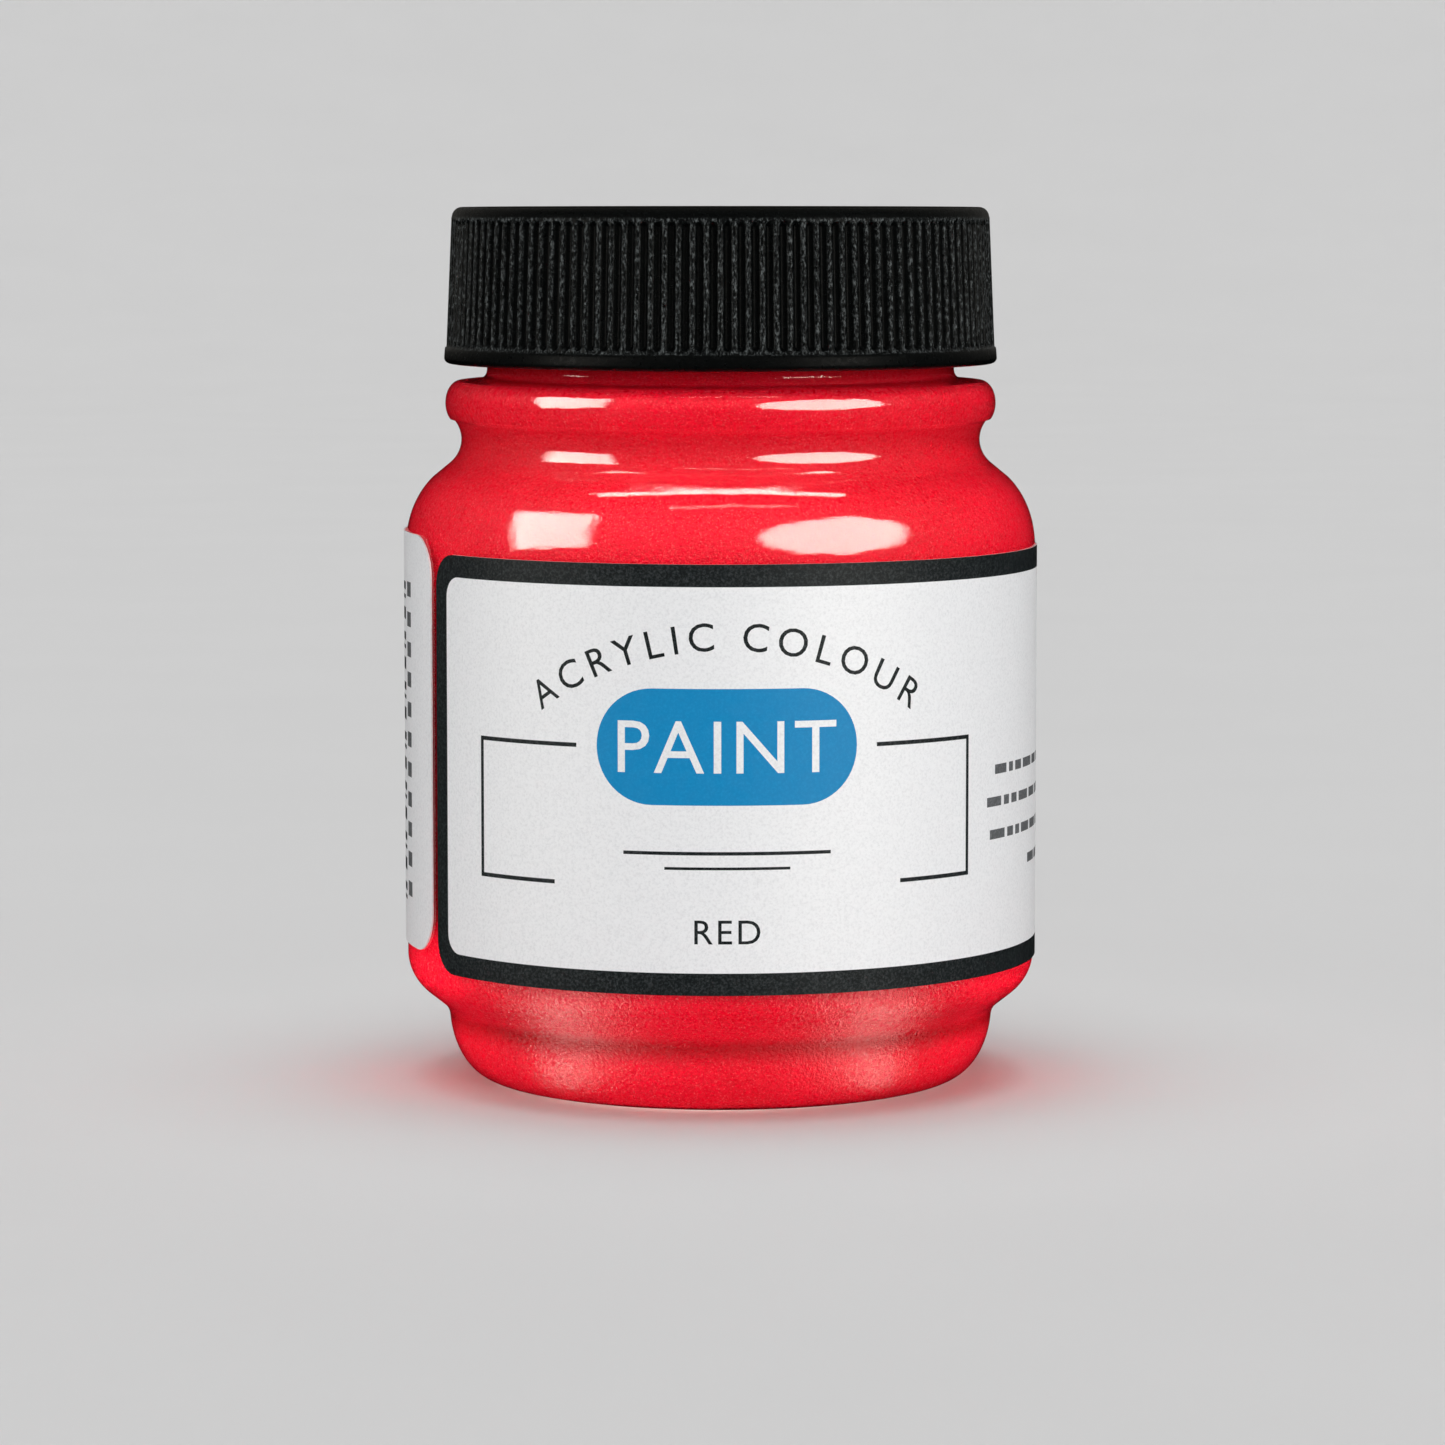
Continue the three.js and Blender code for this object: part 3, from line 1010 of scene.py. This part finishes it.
def bend_sheet(name, points, faces, slots, materials):
    """The flat faces as the outer face of a thin closed sheet round the jar."""
    used = sorted({i for face in faces for i in face})
    order = {i: k for k, i in enumerate(used)}
    vertices = []
    for reach in (LABEL_OUTER, LABEL_INNER):
        for i in used:
            angle = points[i][0] / LABEL_OUTER
            vertices.append((reach * math.sin(angle), -reach * math.cos(angle), points[i][1]))
    count = len(used)
    outer = [[order[i] for i in face] for face in faces]
    inner = [[order[i] + count for i in reversed(face)] for face in faces]
    directed = {(a, b) for face in outer for a, b in zip(face, face[1:] + face[:1])}
    rim = [[b, a, a + count, b + count] for a, b in directed if (b, a) not in directed]
    rim.sort()
    all_slots = slots + [WHITE] * (len(inner) + len(rim))
    return make_piece(name, vertices, outer + inner + rim, all_slots, materials, sharp_angle=40)


def make_labels():
    materials = [
        printed("label_paper", PAPER, PAPER_SHADE, speck_share=0.8, rough=(0.38, 0.52), gloss=0.4),
        printed("label_black", INK_BLACK, INK_BLACK_SPECK, speck_share=1, rough=(0.34, 0.48), gloss=0.08),
        printed("label_blue", INK_BLUE, INK_BLUE_SPECK, speck_share=1, rough=(0.36, 0.5), gloss=0.1),
        printed("label_grey", INK_GREY, INK_GREY_SPECK, speck_share=1, rough=(0.4, 0.55), gloss=0.1),
    ]
    front = label_piece("front_label_sheet", "front_label", (-61, 170), 2.4, BLACK, front_marks, materials)
    settle(front, "jar", "front_label")
    back = label_piece("back_label_sheet", "back_label", (-186.5, -63.4), 3.0, WHITE, back_marks, materials)
    settle(back, "jar", "back_label")
    return front, back


# ---- Studio ----

TARGET = Vector((0, 0, 0.035))
WARM = (1, 0.965, 0.88)
NEUTRAL = (1, 1, 1)
SKY = (0.9, 0.93, 1, 1)
SKY_STRENGTH = 0.1


def lamp(name, place, facing, size, power, shape="RECTANGLE", roll=0, shines=False, only=()):
    """An area lamp at a place, turned the way it faces and rolled by some degrees about that way.

    One that shines is only seen as a reflection, and any other only lights the matt colours. Lamp
    light reaches the paint as shadow rays through the clear wall, so a refracted ray that meets the
    lamp doesn't count it again. With only, the lamp reaches those pieces and nothing else.
    """
    made = bpy.data.lights.new(name, "AREA")
    made.shape = shape
    made.size = size[0]
    made.size_y = size[1]
    made.energy = power
    made.color = WARM if shines else NEUTRAL
    holder = bpy.data.objects.new(name, made)
    holder.location = place
    turned = (-facing).to_track_quat("Z", "Y") @ Quaternion((0, 0, 1), math.radians(roll))
    holder.rotation_euler = turned.to_euler()
    holder.visible_camera = False
    holder.visible_transmission = False
    holder.visible_diffuse = not shines
    holder.visible_glossy = shines
    bpy.context.scene.collection.objects.link(holder)
    if only:
        receivers = bpy.data.collections.new(name + "_receivers")
        for piece in only:
            receivers.objects.link(piece)
        holder.light_linking.receiver_collection = receivers


def softbox(name, azimuth, elevation, distance, size, power, **more):
    """A lamp aimed at the jar, by its direction from the jar in degrees."""
    turn = math.radians(azimuth)
    lift = math.radians(elevation)
    towards = Vector((math.sin(turn) * math.cos(lift), -math.cos(turn) * math.cos(lift), math.sin(lift)))
    lamp(name, TARGET + distance * towards, -towards, size, power, **more)


def low_glow(name, azimuth, reach, size, power, pieces, shines=True):
    """A small patch that faces up beside the foot, for the light that comes up from the floor there."""
    turn = math.radians(azimuth)
    height = 0.4
    place = MM * Vector((reach * math.sin(turn), -reach * math.cos(turn), height))
    up = Vector((0, 0, 1))
    lamp(name, place, up, (MM * size, MM * size), power, shape="DISK", shines=shines, only=pieces)


def make_floor():
    """A pale floor that sweeps up into a wall all round the jar."""
    segments = 96
    sweep_radius = 1.2
    wall_radius = 2.4
    wall_top = 2.4
    sweep_centre = (wall_radius - sweep_radius, sweep_radius)
    sweep = arc(sweep_centre, (sweep_radius, sweep_radius), -90, 0, 16)
    profile = [(0.25, 0), (0.7, 0), *sweep, (wall_radius, wall_top)]
    vertices = [(0, 0, 0)]
    faces = []
    for radius, height in profile:
        first = len(vertices)
        vertices += [(radius * math.sin(a), -radius * math.cos(a), height) for a in turns(segments)]
        if first == 1:
            faces += [[0, first + k, first + (k + 1) % segments] for k in range(segments)]
        else:
            join(faces, first, segments, first - segments, segments)
    mesh = bpy.data.meshes.new("studio_floor")
    mesh.from_pydata(vertices, [], faces)
    mesh.materials.append(floor_paper())
    mesh.shade_smooth()
    floor = bpy.data.objects.new("studio_floor", mesh)
    bpy.context.scene.collection.objects.link(floor)
    floor.visible_glossy = False
    return floor


def make_lights(shell, paint, labels, cap, floor):
    """Every softbox has its azimuth and elevation, its distance and size in metres, and its power.

    The fills light the matt colours. The shines are the window reflections on the clear wall and
    the labels, the sheens are weaker ones on the paint, and the cap has faint ones of its own.
    """
    outer = [*shell, *labels]
    whole = [*outer, *paint, *cap]
    softbox("front_fill", -6, 30, 1.1, (0.9, 0.6), 0.2, only=whole)
    softbox("low_fill", 4, 1, 1.1, (0.9, 0.2), 3.3, only=whole)
    softbox("left_fill", -76, 10, 1.1, (0.6, 0.6), 2.3, only=whole)
    softbox("right_fill", 58, 12, 1.1, (0.8, 0.8), 4.3, only=whole)
    softbox("back_fill", 170, 20, 1.2, (0.9, 0.7), 3.0, only=whole)
    softbox("top_fill", 0, 84, 0.9, (0.5, 0.5), 0.1, only=whole)
    softbox("left_shine", -69, 26, 0.98, (0.55, 0.58), 26.5, roll=18, shines=True, only=outer)
    softbox("right_shine", 45, 25, 1.03, (1.05, 0.66), 43, shape="ELLIPSE", shines=True, only=outer)
    softbox("top_shine", 0, 90, 0.9, (0.9, 0.12), 9, shines=True, only=shell)
    softbox("strip_shine", 7, 65, 0.9, (0.56, 0.02), 0.6, shines=True, only=shell)
    softbox("left_sheen", -69, 27, 0.98, (0.5, 0.5), 7, shines=True, only=paint)
    softbox("right_sheen", 45, 25, 1.03, (0.8, 0.5), 10, shines=True, only=paint)
    softbox("front_sheen", -4, 42, 1.0, (0.8, 0.2), 4, shines=True, only=paint)
    softbox("left_cap_shine", -62, 3, 1.0, (0.4, 0.3), 0.9, shines=True, only=cap)
    softbox("right_cap_shine", 50, 3, 1.0, (0.5, 0.3), 1.0, shines=True, only=cap)
    for azimuth in (45, 135, 225, 315):
        softbox("wall_cap_sheen", azimuth, 22, 1.5, (2.4, 1.2), 1.1, shines=True, only=cap)
    softbox("roof_cap_sheen", 0, 90, 1.5, (2.4, 2.4), 2.6, shines=True, only=cap)
    for side in (-1, 1):
        low_glow("foot_glow", side * 40, 21.8, 3.6, 0.004, paint)
        low_glow("corner_glow", side * 41, 40.5, 12, 0.038, paint)
        low_glow("front_bounce", side * 25, 36, 14, 0.0034, paint, shines=False)
        low_glow("side_bounce", side * 78, 36, 14, 0.010, paint, shines=False)
    overhead = Vector((0, 0, 5))
    down = Vector((0, 0, -1))
    lamp("room_wash", overhead, down, (5, 5), 160, shape="DISK", only=floor)


def make_sky():
    """A faint even light on the matt colours, which no reflection or clear wall shows."""
    world = bpy.data.worlds.new("studio")
    bpy.context.scene.world = world
    world.use_nodes = True
    background = world.node_tree.nodes["Background"]
    background.inputs["Color"].default_value = SKY
    background.inputs["Strength"].default_value = SKY_STRENGTH
    world.cycles_visibility.transmission = False
    world.cycles_visibility.glossy = False


def make_camera():
    """A long lens a little above the jar, looking slightly down at it."""
    distance = 0.402
    height = 0.06662
    aside = 0.00015
    pitch_down = 5.704
    camera = bpy.data.cameras.new("camera")
    camera.lens = 134.06
    camera.sensor_width = 36
    camera.clip_start = 0.01
    holder = bpy.data.objects.new("camera", camera)
    holder.location = (aside, -distance, height)
    holder.rotation_euler = (math.radians(90 - pitch_down), 0, 0)
    bpy.context.scene.collection.objects.link(holder)
    bpy.context.scene.camera = holder
    bpy.context.scene.view_settings.view_transform = "Standard"


shell = [make_jar()]
paint = [make_paint()]
labels = make_labels()
cap = [make_cap(), make_liner()]
floor = [make_floor()]
make_lights(shell, paint, labels, cap, floor)
make_sky()
make_camera()
